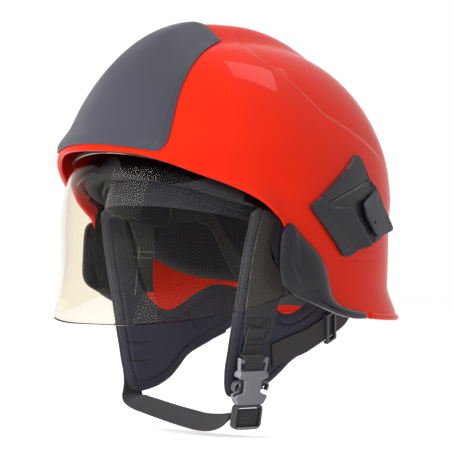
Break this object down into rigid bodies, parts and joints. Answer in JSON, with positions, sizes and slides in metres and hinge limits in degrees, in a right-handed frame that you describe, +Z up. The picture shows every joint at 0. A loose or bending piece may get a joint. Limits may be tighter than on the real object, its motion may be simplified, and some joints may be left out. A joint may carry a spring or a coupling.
{
  "type": "fire helmet",
  "caption": "Fire helmet shell with a grey front plate, hinged clear face visor, inner eye shield, lamp brackets and a padded chin harness.",
  "frame": {"origin": "middle of the wearer's head at headband level, on the helmet's middle plane", "axes": "+Z up through the crown, -Y the way the wearer faces, +X towards the wearer's left side"},
  "size_m": [0.252, 0.3109, 0.3343],
  "materials": {
    "shell_red": "glossy lacquer",
    "plate_grey": "satin lacquer with a fine metallic sheen",
    "cover_black": "semi gloss",
    "bracket_grey": "satin",
    "visor_clear": "polished, very light amber",
    "seal_grey": "matt",
    "hub_grey": "satin",
    "pin_steel": "brushed",
    "shield_smoke": "polished, light smoke",
    "liner_foam": "matt",
    "pad_fabric": "woven, matt",
    "band_plastic": "satin",
    "strap_web": "ribbed webbing",
    "snap_steel": "polished",
    "buckle_plastic": "satin, moulded"
  },
  "bodies": {
    "helmet": {"outer_shell": "shell_red", "front_plate": "plate_grey", "side_cover_left": "cover_black", "side_cover_right": "cover_black", "lamp_bracket_left": "bracket_grey", "lamp_bracket_right": "bracket_grey", "lamp_clip_left": "bracket_grey", "lamp_clip_right": "bracket_grey", "pivot_pin_left": "pin_steel", "pivot_pin_right": "pin_steel", "impact_liner": "liner_foam", "brow_pad": "pad_fabric", "headband": "band_plastic", "crown_straps": "strap_web", "crown_pad": "pad_fabric", "strap_hanger_left": "strap_web", "strap_hanger_right": "strap_web", "hanger_snaps": "snap_steel", "cheek_pad_left": "pad_fabric", "cheek_pad_right": "pad_fabric", "side_web_left": "strap_web", "side_web_right": "strap_web", "nape_web_left": "strap_web", "nape_web_right": "strap_web", "buckle_socket": "buckle_plastic", "buckle_plug": "buckle_plastic", "buckle_web": "strap_web", "plug_web": "strap_web", "chin_web": "strap_web"},
    "visor": {"face_visor": "visor_clear", "visor_seal": "seal_grey", "visor_hub_left": "hub_grey", "visor_hub_right": "hub_grey"},
    "eye_shield": {"eye_shield": "shield_smoke", "eye_hub_left": "hub_grey", "eye_hub_right": "hub_grey"},
    "cradle": {"nape_cradle": "band_plastic"},
    "knob": {"size_knob": "band_plastic"},
    "prong_front": {"buckle_prong_front": "buckle_plastic"},
    "prong_rear": {"buckle_prong_rear": "buckle_plastic"},
    "slider_left": {"nape_slider_left": "buckle_plastic"},
    "slider_right": {"nape_slider_right": "buckle_plastic"}
  },
  "joints": [
    {"name": "visor_hinge", "type": "hinge", "parent": "helmet", "child": "visor", "pos_m": [0, -0.005, -0.02], "axis": [-1, 0, 0], "range_deg": [0, 42]},
    {"name": "eye_shield_hinge", "type": "hinge", "parent": "helmet", "child": "eye_shield", "pos_m": [0, -0.005, -0.02], "axis": [1, 0, 0], "range_deg": [0, 35]},
    {"name": "cradle_slide", "type": "slide", "parent": "helmet", "child": "cradle", "axis": [0, -1, 0], "range_m": [0, 0.0094]},
    {"name": "knob_turn", "type": "hinge", "parent": "cradle", "child": "knob", "pos_m": [0, 0.106, -0.07], "axis": [0, -1, 0], "range_deg": [0, 270]},
    {"name": "front_prong_press", "type": "slide", "parent": "helmet", "child": "prong_front", "axis": [0.2079, 0.9781, 0], "range_m": [0, 0.0025], "stiffness_N_per_m": 800},
    {"name": "rear_prong_press", "type": "slide", "parent": "helmet", "child": "prong_rear", "axis": [-0.2079, -0.9781, 0], "range_m": [0, 0.0025], "stiffness_N_per_m": 800},
    {"name": "slider_left_slide", "type": "slide", "parent": "helmet", "child": "slider_left", "axis": [-0.0973, 0.9364, 0.3371], "range_m": [-0.007, 0.007]},
    {"name": "slider_right_slide", "type": "slide", "parent": "helmet", "child": "slider_right", "axis": [0.0973, 0.9364, 0.3371], "range_m": [-0.007, 0.007]}
  ],
  "couplings": [
    {"joint": "knob_turn", "follows": "cradle_slide", "rad_per_m": 500}
  ]
}
